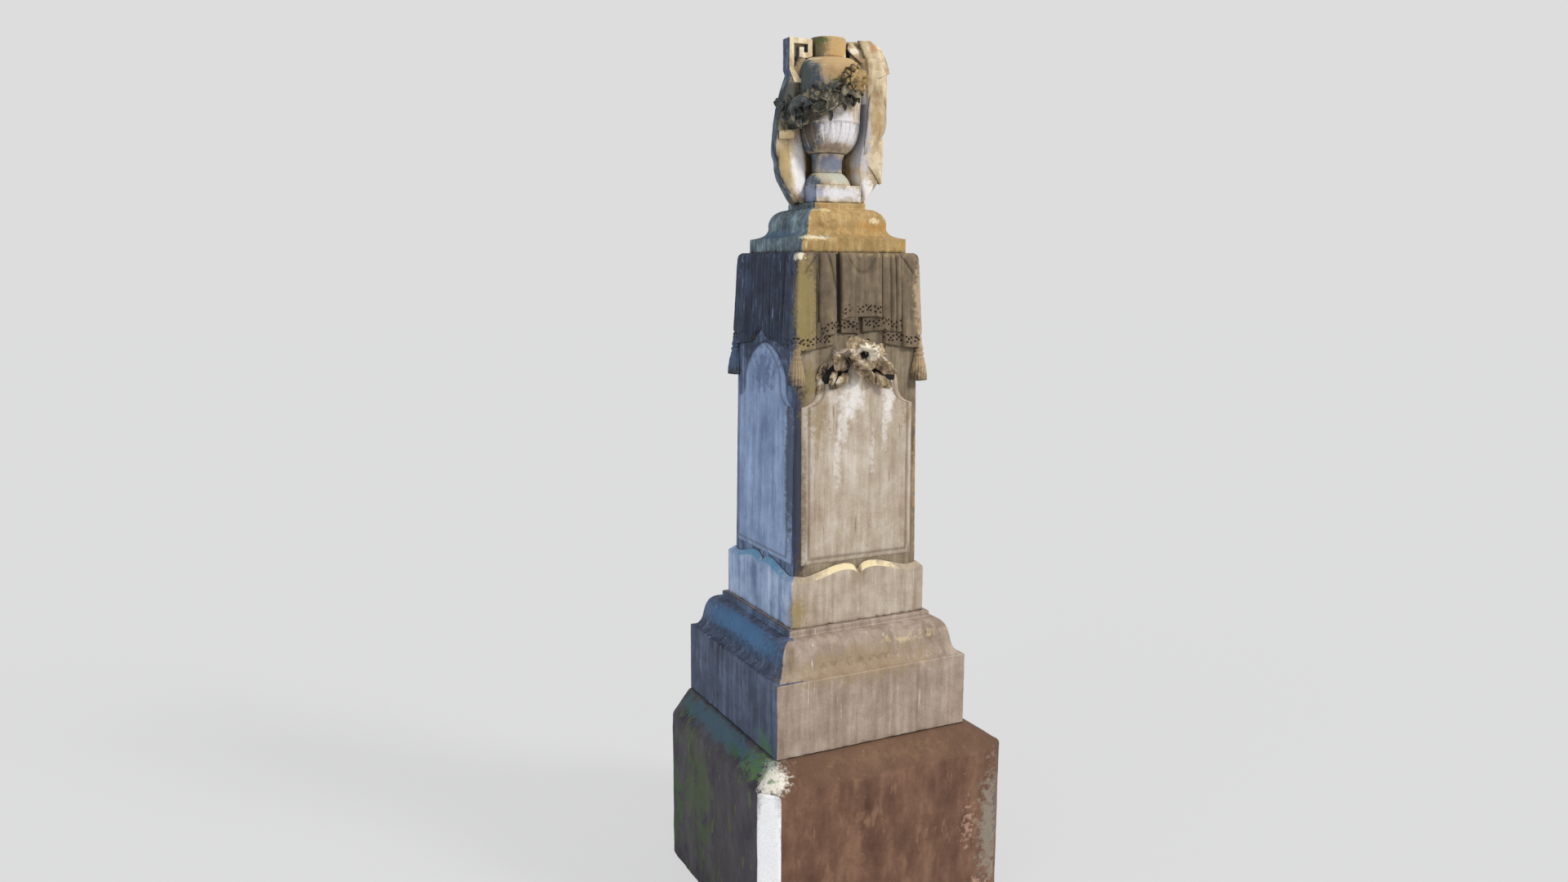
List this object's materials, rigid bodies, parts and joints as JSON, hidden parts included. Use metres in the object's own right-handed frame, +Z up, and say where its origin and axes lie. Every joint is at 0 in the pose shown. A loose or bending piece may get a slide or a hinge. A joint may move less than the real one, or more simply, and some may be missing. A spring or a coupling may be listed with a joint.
{
  "type": "grave monument",
  "caption": "Tall carved stone grave monument: square plinth and moulded base, tapered die with arched tablets under a carved cloth with tassels, and a draped urn on the cap.",
  "frame": {"origin": "centre of the plinth's underside, on the ground", "axes": "+Z up, +X to the right along the front, -Y the front with the flower spray"},
  "size_m": [0.93, 0.835, 2.9],
  "materials": {
    "plinth_stone": "rough weathered sandstone",
    "base_marble": "weathered marble, honed once",
    "die_marble": "weathered marble, honed once",
    "carved_marble": "carved marble with lichen"
  },
  "bodies": {
    "root": {"base_stone": "base_marble", "cap_stone": "base_marble", "cloth_corner_back_left": "carved_marble", "cloth_corner_back_right": "carved_marble", "cloth_corner_front_left": "carved_marble", "cloth_corner_front_right": "carved_marble", "cloth_folds_back": "carved_marble", "cloth_folds_front": "carved_marble", "cloth_folds_left": "carved_marble", "cloth_folds_right": "carved_marble", "cloth_panel_back": "carved_marble", "cloth_panel_front": "carved_marble", "cloth_panel_left": "carved_marble", "cloth_panel_right": "carved_marble", "die_shaft": "die_marble", "flower_cluster": "carved_marble", "garland": "carved_marble", "handle_left": "die_marble", "handle_right": "die_marble", "label_stone": "base_marble", "lily": "carved_marble", "plinth_block": "plinth_stone", "spray_left": "carved_marble", "spray_right": "carved_marble", "tablet_back": "die_marble", "tablet_front": "die_marble", "tablet_left": "die_marble", "tablet_right": "die_marble", "tassel_back_left": "carved_marble", "tassel_back_right": "carved_marble", "tassel_front_left": "carved_marble", "tassel_front_right": "carved_marble", "urn_bowl": "die_marble", "urn_cloth": "carved_marble", "urn_foot": "die_marble", "urn_foot_block": "die_marble", "urn_neck": "die_marble", "urn_stem": "die_marble"}
  },
  "joints": []
}
